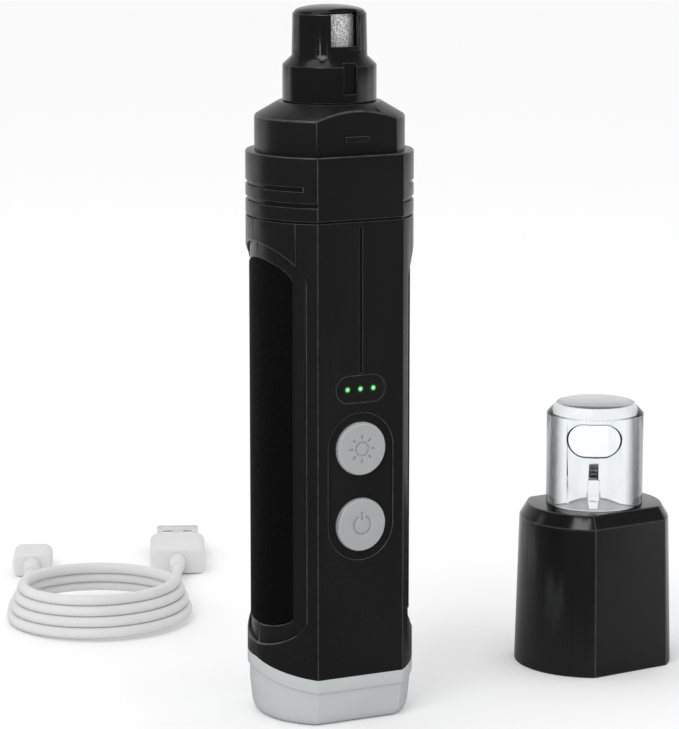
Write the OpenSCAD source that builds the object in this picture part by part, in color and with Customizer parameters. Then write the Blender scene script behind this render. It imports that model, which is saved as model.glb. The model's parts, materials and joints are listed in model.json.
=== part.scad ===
// Handheld pet nail trimmer: a cordless grinder with its nail guard, storage cap and charging cable.
// Millimetres. Origin at the centre of the base's underside, +Z up to the nose, control panel on -Y.

/* [Handle] */
// Radius of the handle's round sides
body_r = 20; // [19:0.5:26]
// Distance from the axis to the front and back flats
body_d = 16.5; // [15.8:0.1:20]
// Wall of the two handle shells
shell_wall = 2.6; // [2.2:0.1:3]
// Height of the light base cap
base_h = 11.7; // [10:0.1:15]
// Height of the black handle between the base cap and the head
handle_h = 110; // [106:1:140]
// Depth of the side recess that holds the grip
recess_depth = 1; // [0.6:0.1:1.2]
// How far the rubber grip stands out of its recess
grip_proud = 0.2; // [0.1:0.05:0.4]
// Depth of the pocket that the rubber grip is bonded into
pocket_depth = 0.6; // [0.4:0.1:0.8]

/* [Head] */
// Height of the head's collar
collar_h = 15; // [13:0.5:22]
// Height of the shoulder's straight part, up to where the cone starts
shoulder_h = 8.2; // [7:0.1:12]
// Radius of the shoulder that the storage cap fits over
shoulder_r = 17.85; // [17:0.05:18.5]
// Distance from the axis to the shoulder's flats
shoulder_d = 14.4; // [14:0.1:15]
// Rise of the cone between the shoulder and the nose
cone_h = 3.3; // [2:0.1:6]
// Radius of the flat ring around the nose
seat_r = 12.3; // [12:0.1:13]
// Radius of the neck that the nose cover turns on
neck_r = 9.5; // [9.2:0.1:9.7]
// Height of the neck
neck_h = 5; // [4.5:0.1:6]

/* [Nose cover] */
// Radius of the nose cover's lower ring
ring_r = 11.15; // [10.9:0.05:11.5]
// Height of the lower ring
ring_h = 8.9; // [8:0.1:12]
// Rise of the chamfer above the ring
nose_cone_h = 1.8; // [1:0.1:3]
// Radius of the nose's upper tube
nose_r = 8.95; // [8.6:0.05:10]
// Height of the upper tube
nose_h = 10.3; // [9:0.1:14]
// Rise of the nose's domed top
dome_h = 1.6; // [1:0.1:3]
// Wall of the nose's upper tube
nose_wall = 1.3; // [1:0.1:1.5]
// Width of the grinding window
window_w = 7.1; // [6:0.1:8]
// Radial clearance between the neck and the nose cover
turn_gap = 0.08; // [0.03:0.01:0.1]
// Angle that the nose cover turns to unlock
unlock_angle = 35; // [25:1:45]

/* [Controls] */
// Radius of the two buttons
button_r = 6.35; // [5.5:0.05:7]
// Height of the power button's centre
power_z = 48.8; // [46:0.1:52]
// Distance between the two buttons
button_pitch = 18.4; // [16:0.1:20]
// Travel of a button
button_travel = 0.6; // [0.4:0.1:0.8]
// Clearance around a button
button_gap = 0.12; // [0.08:0.01:0.3]
// Height of the battery window's centre
led_z = 81.5; // [80:0.1:84]
// Width of the battery window
led_w = 13; // [12:0.1:15]
// Height of the battery window
led_h = 6.6; // [5:0.1:7]
// Distance between the battery lights
led_pitch = 3.4; // [3:0.1:3.6]

/* [Drive] */
// Radius of the motor's can
motor_r = 10.2; // [9.4:0.1:10.6]
// Length of the motor's can
motor_h = 24.5; // [20:0.5:26]
// Radius of the motor's shaft
shaft_r = 1; // [0.8:0.05:1.2]
// Radial clearance of the shaft in its bearings
shaft_gap = 0.05; // [0.02:0.01:0.1]
// Radius of the collet
collet_r = 3; // [2.7:0.1:3.2]
// Radius of the grinding drum
drum_r = 6; // [5:0.1:6.5]
// Height of the grinding drum
drum_h = 10; // [8:0.1:10.5]
// Radius of the drum's steel shank
shank_r = 1.2; // [1:0.05:1.4]

/* [Battery] */
// Radius of the battery cell
cell_r = 7; // [6.5:0.1:7.4]
// Length of the battery cell
cell_h = 50; // [44:1:54]

/* [Guard and cap] */
// Radial clearance of the guard on the nose cover's ring
guard_gap = 0.12; // [0.05:0.01:0.3]
// Height of the clear guard
guard_h = 26; // [25.8:0.1:32]
// Height of the guard's nail port above its rim
port_z = 18; // [16:0.1:19]
// Width of the nail port
port_w = 13; // [10:0.1:14]
// Height of the nail port
port_h = 8; // [6:0.1:9]
// Clearance of the storage cap on the shoulder
cap_gap = 0.15; // [0.1:0.01:0.3]
// Height of the storage cap
cap_h = 41.2; // [41:0.1:50]
// Rise of the storage cap's top chamfer
cap_chamfer = 3.3; // [2:0.1:5]
// Where the storage cap stands, across and behind the handle
cap_at = [80, 9]; // [60:1:100]

/* [Cable] */
// Diameter of the charging cable
cable_dia = 2.9; // [2.6:0.1:3.2]
// Mean radius of the coil
coil_r = 22; // [20:0.5:30]
// Height of the coil
coil_h = 12.6; // [12.5:0.1:16]

/* [Hidden] */
$fn = 96;

eps = 0.01;
// Heights up the handle and head
parting_z = base_h + handle_h;
ledge_z = parting_z + collar_h;
cone_z = ledge_z + shoulder_h;
seat_z = cone_z + cone_h;
// Inside of the handle shells
inner_r = body_r - shell_wall;
inner_d = body_d - shell_wall;
// Fit of one moulded part's skirt inside another
skirt_gap = 0.2;
skirt_wall = 1.8;
// Grooves that ring the top of the handle
groove_pitch = 3.75;
groove_h = 1;
groove_depth = 0.75;
groove_ends = [11.2, 14];
// Base cap
base_rim = 3.2;
base_step = 0.55;
base_floor = 3.2;
spigot_z = 5;
joint_rise = 3.3;
joint_high = base_h + joint_rise;
spigot_top = joint_high + 2.6;
// Side recess and grip, as angles about the side axis
recess_angle = 47.8;
grip_angle = 36;
land_angle = grip_angle + 2;
recess_r = body_r - recess_depth;
grip_floor_r = recess_r - pocket_depth;
grip_half = recess_r * sin(grip_angle);
recess_low = base_h + 15.3;
recess_high = parting_z - 16.2;
recess_top_rise = 10.3;
recess_low_rise = 8.3;
grip_low = recess_low - 0.2;
grip_high = recess_high + 1;
grip_top_rise = 5.2;
grip_low_rise = 3.5;
// Control panel
light_z = power_z + button_pitch;
surround_r = button_r + 2.15;
surround_depth = 0.35;
button_proud = 0.7;
button_face = -(body_d + button_proud);
flange_y = -inner_d + 0.1;
flange_t = 0.8;
flange_r = button_r + 0.9;
icon_depth = 0.3;
icon_line = 0.55;
panel_groove = [0.8, 0.5];
panel_groove_gap = 0.6;
panel_groove_top = 1.8;
lens_recess = 0.25;
// Main board and what is soldered to it
board_front = -8;
board_t = 1.2;
board_back = board_front + board_t;
board_half = 11;
board_low = 28;
board_high = 98;
tail_half = 5;
tail_low = 5.6;
switch_side = 6;
switch_h = 3.2;
switch_floor = 0.6;
plunger_r = 1.6;
plunger_top = flange_y + flange_t + 0.7;
guide_r = 0.6;
guide_step = 1.4;
board_led = [1.6, 0.6, 1];
// Micro-USB socket
socket_w = 7.5;
socket_t = 2.6;
socket_low = 1.2;
socket_h = 5.8;
socket_y = board_front - socket_t / 2;
// Battery
cell_y = 4.2;
cell_z = 30;
tab_t = 0.3;
// Screws of the handle
post_r = 2.6;
screw_r = 0.95;
screw_head_r = 1.9;
screw_head_h = 1.6;
screw_x = 10.5;
screw_low = base_h + 10.3;
screw_high = parting_z - 17.7;
screw_seat_y = body_d - 5.2;
base_screw_x = 12;
base_screw_y = 3.2;
board_screw_r = 0.8;
board_screw_x = 8.6;
// Head
skirt_low = parting_z - 5.7;
head_inner_r = shoulder_r - 2.45;
head_inner_d = shoulder_d - 2.4;
bulkhead_z = ledge_z + 0.3;
bulkhead_t = 2;
chamber_r = 11.8;
lip_z = seat_z - 4.8;
lip_t = 1.2;
lip_r = 6.3;
seal_r = 7.1;
seal_t = 1.6;
ring_board_r = 7.9;
ring_board_t = 1;
ring_board_z = lip_z + lip_t + seal_t;
lug_z = seat_z + 2.2;
lug_h = 1.4;
lug_r = 10.3;
lug_angle = 9;
lug_play = 0.1;
key_w = 3.3;
key_depth = 1;
key_z = seat_z + 2.3;
window_sill = 2.5;
window_back = 1.1;
dash_w = 6.2;
dash_h = 1.4;
dash_proud = 0.35;
// Motor and drum
motor_top = bulkhead_z;
motor_low = motor_top - motor_h;
can_wall = 1;
boss_r = 3;
boss_h = 1.4;
bell_h = 2;
magnet_r = 7.2;
armature_r = 6.8;
motor_screw_y = 4.7;
collet_z = motor_top + 3.5;
collet_h = 12.5;
nut_h = 3.4;
nut_r = 3.9;
nose_top = seat_z + ring_h + nose_cone_h + nose_h + dome_h;
roof_t = 1.5;
drum_clearance = 0.5;
drum_top = nose_top - roof_t - drum_clearance;
drum_low = drum_top - drum_h;
sleeve_t = 1.1;
// Guard and cap
guard_r = seat_r;
guard_inner_r = ring_r + guard_gap;
guard_ceiling = guard_h - 2.8;
guard_top_r = 9.75;
guard_turn = -32;
cap_turn = 6;
cap_wall = 1.95;
cap_top = 2.6;
cap_fit_h = shoulder_h + cone_h + 0.3;
cap_flat_gap = dash_proud + cap_gap;
cap_taper = 1;
cap_chamfer_in = 2;
// Cable and plugs
coil_at = [-18, 102];
coil_half = 3.2;
plug_heading = 66;
micro_from = [-21, 146, 3.3];
usb_from = [17, 130, 3.8];
micro_points = [
    [-40, 107, 1.6], [-39, 113, 1.6], [-35.5, 121, 1.6], [-30.5, 130, 1.8], [-25.5, 138.5, 2.5], micro_from
];
usb_points = [
    [-2, 87, 10.9], [0, 93, 10.9], [3.5, 101, 9.2], [8, 111, 6.2], [12.7, 121, 4.2], usb_from
];
relief_h = 8;
relief_r = 2.5;
usb_body = [21, 15.5, 7.4];
usb_shell = [15, 12, 4.5];
micro_body_size = [14, 10.8, 6.4];
micro_shell_size = [6.4, 6.9, 1.85];

// ---- Shared shapes ----

// Round section with two flats
module double_d(r, d) {
    intersection() {
        circle(r);
        square([2 * r + 1, 2 * d], center = true);
    }
}

module double_d_block(r, d, low, high) {
    translate([0, 0, low]) linear_extrude(high - low) double_d(r, d);
}

// Double-D solid through stations of [height, radius, flat distance]
module double_d_stack(stations) {
    last = len(stations) - 1;
    intersection() {
        rotate_extrude()
            polygon(concat(
                [[0, stations[0][0]]],
                [for (s = stations) [s[1], s[0]]],
                [[0, stations[last][0]]]
            ));
        rotate([90, 0, 90])
            linear_extrude(6 * body_r, center = true)
                polygon(concat(
                    [for (s = stations) [-s[2], s[0]]],
                    [for (i = [last:-1:0]) [stations[i][2], stations[i][0]]]
                ));
    }
}

// Closed tube from one height to another
module pipe(r, hole, low, high) {
    translate([0, 0, low]) difference() {
        cylinder(r = r, h = high - low);
        translate([0, 0, -1]) cylinder(r = hole, h = high - low + 2);
    }
}

module rod(r, low, high) {
    translate([0, 0, low]) cylinder(r = r, h = high - low);
}

// Cylinder that runs along Y from one depth to another
module rod_y(r, near, far) {
    translate([0, near, 0]) rotate([-90, 0, 0]) cylinder(r = r, h = far - near);
}

// Slot with round ends, wide along X and thick along Y
module slot_y(w, h, near, far) {
    translate([0, far, 0]) rotate([90, 0, 0]) linear_extrude(far - near) {
        square([w - h, h], center = true);
        for (side = [-1, 1]) translate([side * (w - h) / 2, 0]) circle(h / 2);
    }
}

// Points of half an ellipse that rises from (-half, 0) to (half, 0), or falls if turn is -1
function arc_points(half, rise, from_z, turn) =
    let (count = 14)
    [for (k = [-count:count])
        let (a = turn * 90 * k / count) [half * sin(a), from_z + turn * rise * cos(a)]];

// Outline of the recess in side view: straight sides that run into a round end
module arched(half, low, high, top_rise, low_rise) {
    polygon(concat(arc_points(half, top_rise, high, 1), arc_points(half, low_rise, low, -1)));
}

// The same outline pushed out through the handle's side
module side_prism(side, half, low, high, top_rise, low_rise) {
    scale_x = side > 0 ? 0 : 1;
    mirror([scale_x, 0, 0]) rotate([90, 0, 90]) linear_extrude(body_r + 5)
        arched(half, low, high, top_rise, low_rise);
}

function unit(v) = v / norm(v);

// Smooth curve through a list of points
function curve_point(a, b, c, d, t) =
    0.5 * (2 * b + (c - a) * t + (2 * a - 5 * b + 4 * c - d) * t * t + (3 * b - a - 3 * c + d) * t * t * t);
function smooth(points, steps) = concat(
    [for (i = [0:len(points) - 2]) for (k = [0:steps - 1])
        curve_point(points[max(i - 1, 0)], points[i], points[i + 1],
            points[min(i + 2, len(points) - 1)], k / steps)],
    [points[len(points) - 1]]
);
function tangents(path) =
    [for (i = [0:len(path) - 1]) unit(path[min(i + 1, len(path) - 1)] - path[max(i - 1, 0)])];
function normals(along, done = []) =
    len(done) == len(along) ? done :
    let (
        i = len(done),
        start = abs(along[0].z) < 0.9 ? [0, 0, 1] : [1, 0, 0],
        before = i == 0 ? start : done[i - 1]
    )
    normals(along, concat(done, [unit(before - (before * along[i]) * along[i])]));

// Round tube swept along a path
module swept_tube(path, r, sides) {
    along = tangents(path);
    across = normals(along);
    rings = len(path);
    points = [for (i = [0:rings - 1]) for (k = [0:sides - 1])
        path[i] + r * (cos(360 * k / sides) * across[i] + sin(360 * k / sides) * cross(along[i], across[i]))];
    walls = [for (i = [0:rings - 2]) for (k = [0:sides - 1])
        [i * sides + k, (i + 1) * sides + k, (i + 1) * sides + (k + 1) % sides, i * sides + (k + 1) % sides]];
    near_end = [[for (k = [0:sides - 1]) k]];
    far_end = [[for (k = [sides - 1:-1:0]) (rings - 1) * sides + k]];
    polyhedron(points, concat(walls, near_end, far_end));
}

// ---- Handle ----

// Everything above the joint with the base, which climbs from the front flat to the middle of
// the sides and stays level around the back
module above_joint(drop) {
    rotate([90, 0, 90]) linear_extrude(4 * body_r, center = true) polygon([
        [-2 * body_r, base_h - drop], [-body_d, base_h - drop], [0, joint_high - drop],
        [2 * body_r, joint_high - drop], [2 * body_r, parting_z + 1], [-2 * body_r, parting_z + 1]
    ]);
}

module handle_outside() {
    intersection() {
        double_d_block(body_r, body_d, base_h, parting_z);
        above_joint(0);
    }
    double_d_block(inner_r - skirt_gap + 0.5, inner_d - skirt_gap + 0.5, spigot_z, joint_high + 1);
}

module handle_inside() {
    double_d_block(inner_r - skirt_wall, inner_d - skirt_wall, spigot_z - 1, spigot_top + 1);
    double_d_block(inner_r, inner_d, spigot_top, parting_z + 1);
}

module recess_prism(side) {
    side_prism(side, body_r * sin(recess_angle) + 0.2, recess_low, recess_high, recess_top_rise,
        recess_low_rise);
}

module grip_recess(side) {
    inner = recess_r * [cos(land_angle), sin(land_angle)];
    outer = body_r * [cos(recess_angle), sin(recess_angle)];
    slope = outer - inner;
    start = inner - 0.1 * slope;
    past = outer + 0.5 * slope;
    intersection() {
        recess_prism(side);
        pipe(2 * body_r, recess_r, 1, parting_z);
        translate([-2 * body_r, -inner.y, 0]) cube([4 * body_r, 2 * inner.y, parting_z]);
    }
    // Sloping lips beside the grip
    intersection() {
        recess_prism(side);
        translate([0, 0, 1]) linear_extrude(parting_z) for (s = [-1, 1]) polygon([
            [side * start.x, s * start.y], [side * past.x, s * past.y],
            [side * (past.x + 8), s * past.y], [side * (start.x + 8), s * start.y]
        ]);
    }
    difference() {
        side_prism(side, grip_half, grip_low, grip_high, grip_top_rise, grip_low_rise);
        rod(grip_floor_r, 0, parting_z);
    }
}

module ring_groove(z) {
    difference() {
        double_d_block(body_r + 1, body_d + 1, z - groove_h / 2, z + groove_h / 2);
        double_d_block(body_r - groove_depth, body_d - groove_depth, z - groove_h, z + groove_h);
    }
}

// Groove that stops short of the flats
module side_groove(z, from_x) {
    intersection() {
        ring_groove(z);
        for (side = [-1, 1]) translate([side * (from_x + body_r), 0, z])
            cube([2 * body_r, 4 * body_r, 2 * groove_h], center = true);
    }
}

module handle_half(side) {
    intersection() {
        difference() {
            handle_outside();
            handle_inside();
            grip_recess(1);
            grip_recess(-1);
            translate([0, 0, groove_h / 2]) ring_groove(parting_z - groove_h / 2);
        }
        translate([-2 * body_r, side > 0 ? 0 : -2 * body_r, 0])
            cube([4 * body_r, 2 * body_r, parting_z + 1]);
    }
}

module at_handle_screws() {
    for (x = [-screw_x, screw_x]) for (z = [screw_low, screw_high]) translate([x, 0, z]) children();
}

module front_shell() {
    color("#1c1c1c") difference() {
        union() {
            handle_half(-1);
            at_handle_screws() rod_y(post_r, -inner_d - 0.5, -0.1);
        }
        at_handle_screws() rod_y(screw_r, -9, 1);
        // Panel surround, buttons and battery window
        translate([0, 0, power_z]) rod_y(surround_r, -body_d - 1, -body_d + surround_depth);
        translate([0, 0, light_z]) rod_y(surround_r, -body_d - 1, -body_d + surround_depth);
        translate([-surround_r, -body_d - 1, power_z])
            cube([2 * surround_r, 1 + surround_depth, button_pitch]);
        for (z = [power_z, light_z]) translate([0, 0, z]) rod_y(button_r + button_gap, -body_d - 1, 0);
        translate([0, 0, led_z]) slot_y(led_w, led_h, -body_d - 1, -inner_d + 1);
        // Groove from the battery window up to the head
        groove_low = led_z + led_h / 2 + panel_groove_gap;
        translate([-panel_groove.x / 2, -body_d - 1, groove_low])
            cube([panel_groove.x, 1 + panel_groove.y, parting_z - panel_groove_top - groove_low]);
    }
}

module rear_shell() {
    color("#1c1c1c") difference() {
        union() {
            handle_half(1);
            at_handle_screws() rod_y(post_r, 0.1, inner_d + 0.5);
            // Posts for the base cap's screws
            for (side = [-1, 1]) {
                translate([side * base_screw_x, base_screw_y, 0]) rod(post_r, base_floor, spigot_top);
                translate([side * (base_screw_x + 2), base_screw_y, (spigot_z + spigot_top) / 2])
                    cube([4, 2.4, spigot_top - spigot_z], center = true);
            }
        }
        at_handle_screws() rod_y(screw_r, -1, body_d + 1);
        at_handle_screws() rod_y(screw_head_r + 0.2, screw_seat_y, body_d + 1);
        for (side = [-1, 1]) translate([side * base_screw_x, base_screw_y, 0])
            rod(screw_r, 0, spigot_top - 1);
    }
}

module base_outside() {
    difference() {
        double_d_stack([
            [0, body_r - 2.9, body_d - 2.9],
            [0.5, body_r - 2.1, body_d - 2.1],
            [1.3, body_r - 1.5, body_d - 1.5],
            [2.6, body_r - 1.1, body_d - 1.1],
            [base_h - base_rim - 0.6, body_r - base_step, body_d - base_step],
            [joint_high + 1, body_r - base_step, body_d - base_step]
        ]);
        above_joint(0);
    }
    // Rim that follows the joint
    difference() {
        intersection() {
            double_d_block(body_r, body_d, base_h - base_rim, joint_high + 1);
            above_joint(base_rim);
        }
        above_joint(0);
    }
}

module base_cap() {
    color("#b4b8b8") difference() {
        base_outside();
        double_d_block(inner_r + 0.5, inner_d + 0.5, base_floor, joint_high + 1);
        // Socket opening and screw holes
        translate([0, socket_y, 0]) linear_extrude(2 * base_floor, center = true) {
            square([socket_w + 1.2 - 3.4, 3.4], center = true);
            for (side = [-1, 1]) translate([side * (socket_w + 1.2 - 3.4) / 2, 0]) circle(1.7);
        }
        for (side = [-1, 1]) translate([side * base_screw_x, base_screw_y, 0]) {
            rod(screw_r + 0.1, -1, base_floor + 1);
            rod(screw_head_r + 0.2, -1, base_floor - 1);
        }
    }
}

module grip(side) {
    intersection() {
        side_prism(side, grip_half, grip_low, grip_high, grip_top_rise, grip_low_rise);
        pipe(recess_r + grip_proud, grip_floor_r, base_h, parting_z);
    }
}

module grip_left() {
    color("#121212") grip(-1);
}

module grip_right() {
    color("#121212") grip(1);
}

// ---- Controls ----

module led_window() {
    color("#262626") difference() {
        translate([0, 0, led_z]) slot_y(led_w - 0.1, led_h - 0.1, -body_d + lens_recess, -inner_d);
        at_battery_lights() rod_y(guide_r, -inner_d - guide_step, 0);
    }
}

module at_battery_lights() {
    for (i = [-1:1]) translate([i * led_pitch, 0, led_z]) children();
}

module light_guides() {
    color("#9fe6a4") at_battery_lights() rod_y(guide_r, -inner_d - guide_step, board_front - board_led.z);
}

// Round cap with a bevelled rim and a flange that keeps it in the shell
module button_blank(z) {
    translate([0, 0, z]) {
        rod_y(button_r, button_face + 0.4, flange_y + eps);
        translate([0, button_face, 0]) rotate([-90, 0, 0])
            cylinder(r1 = button_r - 0.4, r2 = button_r, h = 0.4 + eps);
        rod_y(flange_r, flange_y, flange_y + flange_t);
        rod_y(plunger_r, flange_y, plunger_top);
    }
}

module icon_ring(r) {
    difference() {
        circle(r + icon_line / 2);
        circle(r - icon_line / 2);
    }
}

// Sun: a ring with eight rays
module sun_icon() {
    icon_ring(1.6);
    for (a = [0:45:315]) rotate(a) translate([2.85, 0]) square([1, icon_line], center = true);
}

// Power: an open ring with a bar
module power_icon() {
    difference() {
        icon_ring(2.2);
        translate([0, 2]) square([1.9, 2.4], center = true);
    }
    translate([0, 2.2]) square([icon_line, 2], center = true);
}

module engraved_on_button(z) {
    translate([0, button_face + icon_depth, z]) rotate([90, 0, 0]) linear_extrude(1) children();
}

module light_button() {
    color("#b0b5b4") difference() {
        button_blank(light_z);
        engraved_on_button(light_z) sun_icon();
    }
}

module power_button() {
    color("#b0b5b4") difference() {
        button_blank(power_z);
        engraved_on_button(power_z) power_icon();
    }
}

// Switch stem that the button pushes
module plunger(z) {
    translate([0, 0, z]) rod_y(plunger_r, plunger_top, board_front - switch_floor - button_travel);
}

module light_plunger() {
    color("#d8d0b0") plunger(light_z);
}

module power_plunger() {
    color("#d8d0b0") plunger(power_z);
}

module tact_switches() {
    color("#4a4a4a") for (z = [power_z, light_z]) translate([0, 0, z]) difference() {
        translate([-switch_side / 2, board_front - switch_h, -switch_side / 2])
            cube([switch_side, switch_h, switch_side]);
        rod_y(plunger_r + 0.3, board_front - switch_h - 1, board_front - 0.3);
    }
}

// ---- Electronics ----

module main_board() {
    color("#1f6b3a") difference() {
        union() {
            translate([-board_half, board_front, board_low])
                cube([2 * board_half, board_t, board_high - board_low]);
            translate([-tail_half, board_front, tail_low])
                cube([2 * tail_half, board_t, board_low - tail_low + 1]);
        }
        at_board_screws() rod_y(board_screw_r, board_front - 1, board_back + 1);
    }
}

module at_board_screws() {
    for (z = [board_low + 4, board_high - 4]) for (side = [-1, 1])
        translate([side * board_screw_x, 0, z]) children();
}

module board_screws() {
    color("#9a9a9a") at_board_screws() {
        rod_y(board_screw_r, board_front - 3, board_back + eps);
        rod_y(1.5, board_back, board_back + 0.9);
    }
}

module board_leds() {
    color("#d9f5da") at_battery_lights()
        translate([-board_led.x / 2, board_front - board_led.z, -board_led.y / 2])
            cube([board_led.x, board_led.z, board_led.y]);
}

module board_chips() {
    color("#202020") {
        translate([-2.5, board_front - 1.5, 35]) cube([5, 1.5, 4]);
        translate([5, board_front - 1.2, 55]) cube([4, 1.2, 5]);
        translate([-9, board_front - 1.6, 74]) cube([5, 1.6, 5]);
        translate([-8.8, board_front - 1, 56]) cube([3, 1, 1.6]);
        translate([-3, board_back, 86]) cube([6, 1.6, 5]);
        translate([6, board_back, 88.5]) cube([3, 2.2, 3]);
    }
}

module usb_socket() {
    color("#c8ccd0") translate([0, socket_y, socket_low]) difference() {
        translate([-socket_w / 2, -socket_t / 2, 0]) cube([socket_w, socket_t, socket_h]);
        translate([-socket_w / 2 + 0.3, -socket_t / 2 + 0.3, -1])
            cube([socket_w - 0.6, socket_t - 0.6, socket_h + 0.5]);
    }
}

module usb_socket_core() {
    color("#303030") translate([0, socket_y, socket_low]) {
        translate([-1.9, 0.15, 0.7]) cube([3.8, 0.6, socket_h - 2]);
        translate([-socket_w / 2 + 0.3, -socket_t / 2 + 0.3, socket_h - 1.7])
            cube([socket_w - 0.6, socket_t - 0.6, 1.2]);
    }
}

module battery_cell() {
    color("#3f78b5") translate([0, cell_y, 0]) {
        rod(cell_r, cell_z, cell_z + cell_h - 0.8);
        rod(3, cell_z + cell_h - 0.8 - eps, cell_z + cell_h);
    }
}

module battery_tabs() {
    color("#c9c4b4") translate([0, cell_y, 0]) {
        for (z = [cell_z - tab_t, cell_z + cell_h]) {
            rod(3.6, z, z + tab_t);
            translate([-1.5, -9.5, z]) cube([3, 9.5, tab_t]);
        }
    }
}

module battery_foam() {
    color("#5a5a5a") for (z = [cell_z + 8, cell_z + cell_h - 16])
        translate([-5, cell_y + cell_r, z]) cube([10, inner_d - cell_y - cell_r, 8]);
}

// Pair of thin wires side by side
module wire_pair(points, spread) {
    for (side = [-1, 1])
        swept_tube([for (p = smooth(points, 3)) p + side * spread], 0.45, 6);
}

module battery_wires() {
    color("#c0302a") for (z = [cell_z - 1, cell_z + cell_h + 1])
        swept_tube(smooth([
            [3.2, cell_y - 6, z], [5, cell_y - 8, z], [6.5, board_back + 0.5, z + 3]
        ], 3), 0.45, 6);
}

module motor_wires() {
    color("#c0302a") for (side = [-1, 1])
        swept_tube(smooth([
            [side * 4, board_back + 0.5, board_high - 2.5], [side * 5, -2, board_high],
            [side * 6, 0, board_high + 4], [side * 6, 0, motor_low - bell_h - 2.5]
        ], 3), 0.45, 6);
}

module light_wires() {
    color("#e8e8e8") wire_pair([
        [8, board_back + 1.3, board_high - 18], [9.5, -3, board_high - 14], [14.5, 0, board_high - 6],
        [15, 0, screw_high - 4], [15, 0, screw_high + 3], [13, 0, motor_low - 1], [12.8, 0, parting_z],
        [12.8, 0, bulkhead_z + 1], [10, 0, bulkhead_z + bulkhead_t + 1.8], [5.4, 0, lip_z - 0.6],
        [5.3, 0, lip_z + lip_t], [5.3, 0, ring_board_z - 0.1]
    ], [0, 0.6, 0]);
}

// ---- Head ----

module head_outside() {
    double_d_block(body_r, body_d, parting_z + eps, ledge_z);
    double_d_block(inner_r - skirt_gap, inner_d - skirt_gap, skirt_low, parting_z + 1);
    double_d_stack([
        [ledge_z - 1, shoulder_r, shoulder_d],
        [cone_z, shoulder_r, shoulder_d],
        [cone_z + eps, shoulder_r, shoulder_d],
        [seat_z, seat_r, shoulder_d]
    ]);
    rod(neck_r, seat_z - 1, seat_z + neck_h);
    for (a = [0, 180]) rotate(a) neck_lug();
    translate([0, -shoulder_d - dash_proud, ledge_z + 3.6])
        translate([-dash_w / 2, 0, -dash_h / 2]) cube([dash_w, 1, dash_h]);
}

module neck_lug() {
    intersection() {
        pipe(lug_r, neck_r - 1, lug_z, lug_z + lug_h);
        linear_extrude(seat_z + neck_h)
            polygon([[0, 0], [2 * lug_r, -2 * lug_r * tan(lug_angle)], [2 * lug_r, 2 * lug_r * tan(lug_angle)]]);
    }
}

module head_inside() {
    double_d_block(head_inner_r, head_inner_d, skirt_low - 1, bulkhead_z);
    rod(boss_r + 0.1, bulkhead_z - 1, bulkhead_z + bulkhead_t + 1);
    rod(chamber_r, bulkhead_z + bulkhead_t, lip_z);
    rod(lip_r, lip_z - 1, seat_z);
    rod(seal_r, lip_z + lip_t, seat_z);
    rod(ring_board_r + 0.1, ring_board_z, seat_z + neck_h + 1);
    for (side = [-1, 1]) translate([0, side * motor_screw_y, 0])
        rod(board_screw_r, bulkhead_z - 1, bulkhead_z + bulkhead_t + 1);
    translate([12.8, 0, 0]) rod(1.6, bulkhead_z - 1, bulkhead_z + bulkhead_t + 1);
    translate([10, -1.6, bulkhead_z + bulkhead_t - eps])
        cube([4.4, 3.2, 1.6]);
}

module head_housing() {
    color("#1c1c1c") difference() {
        head_outside();
        head_inside();
        for (i = [1, 2]) side_groove(parting_z + i * groove_pitch, groove_ends[i - 1]);
    }
}

module head_light_board() {
    color("#f0efe8") pipe(ring_board_r, nut_r + 0.5, ring_board_z, ring_board_z + ring_board_t);
}

module head_leds() {
    color("#fff4c8") for (a = [-90, 30, 150]) rotate(a)
        translate([6.2, 0, 0]) rod(0.9, ring_board_z + ring_board_t, ring_board_z + ring_board_t + 1.6);
}

module dust_seal() {
    color("#8a8478") difference() {
        pipe(seal_r, collet_r + 0.3, lip_z + lip_t, ring_board_z);
        translate([5.3, 0, 0]) linear_extrude(ring_board_z + 1) square([1.6, 3], center = true);
    }
}

module nose_outside() {
    tube_z = seat_z + ring_h + nose_cone_h;
    edge_z = tube_z + nose_h;
    rotate_extrude() polygon(concat(
        [
            [0, seat_z], [ring_r - 0.25, seat_z], [ring_r, seat_z + 0.25],
            [ring_r, seat_z + ring_h - 0.3], [ring_r - 0.3, seat_z + ring_h],
            [nose_r, tube_z], [nose_r - 0.2, edge_z - 0.4], [nose_r - 0.6, edge_z]
        ],
        [for (k = [1:8]) [(nose_r - 0.6) * cos(90 * k / 8), edge_z + dome_h * sin(90 * k / 8)]]
    ));
}

module nose_inside() {
    tube_z = seat_z + ring_h + nose_cone_h;
    bore = nose_r - nose_wall;
    rod(neck_r + turn_gap, seat_z - 1, seat_z + neck_h + 0.4);
    translate([0, 0, seat_z + neck_h + 0.4 - eps])
        cylinder(r1 = neck_r + turn_gap, r2 = bore, h = tube_z - seat_z - neck_h - 1.6);
    rod(bore, tube_z - 2, nose_top - roof_t);
}

// Channel that a lug enters and turns in
module lug_channel() {
    rotate([0, 0, -unlock_angle - lug_angle - 2]) rotate_extrude(angle = unlock_angle + 2 * lug_angle + 4)
        translate([neck_r - 0.5, lug_z - lug_play])
            square([lug_r + lug_play - neck_r + 0.5, lug_h + 2 * lug_play]);
    rotate([0, 0, -unlock_angle - lug_angle - 2]) rotate_extrude(angle = 2 * lug_angle + 4)
        translate([neck_r - 0.5, seat_z - 1])
            square([lug_r + lug_play - neck_r + 0.5, lug_z + lug_h + lug_play - seat_z + 1]);
}

module nose_cover() {
    window_z = seat_z + ring_h + nose_cone_h + window_sill;
    color("#1a1a1a") difference() {
        nose_outside();
        nose_inside();
        for (a = [0, 180]) rotate(a) lug_channel();
        translate([-key_w / 2, -ring_r - 1, key_z])
            cube([key_w, 1 + key_depth, seat_z + ring_h + nose_cone_h - key_z]);
        translate([-window_w / 2, -nose_r - 1, window_z])
            cube([window_w, 1 + nose_wall + window_back, nose_top - window_z + 1]);
    }
}

// ---- Drive ----

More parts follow.
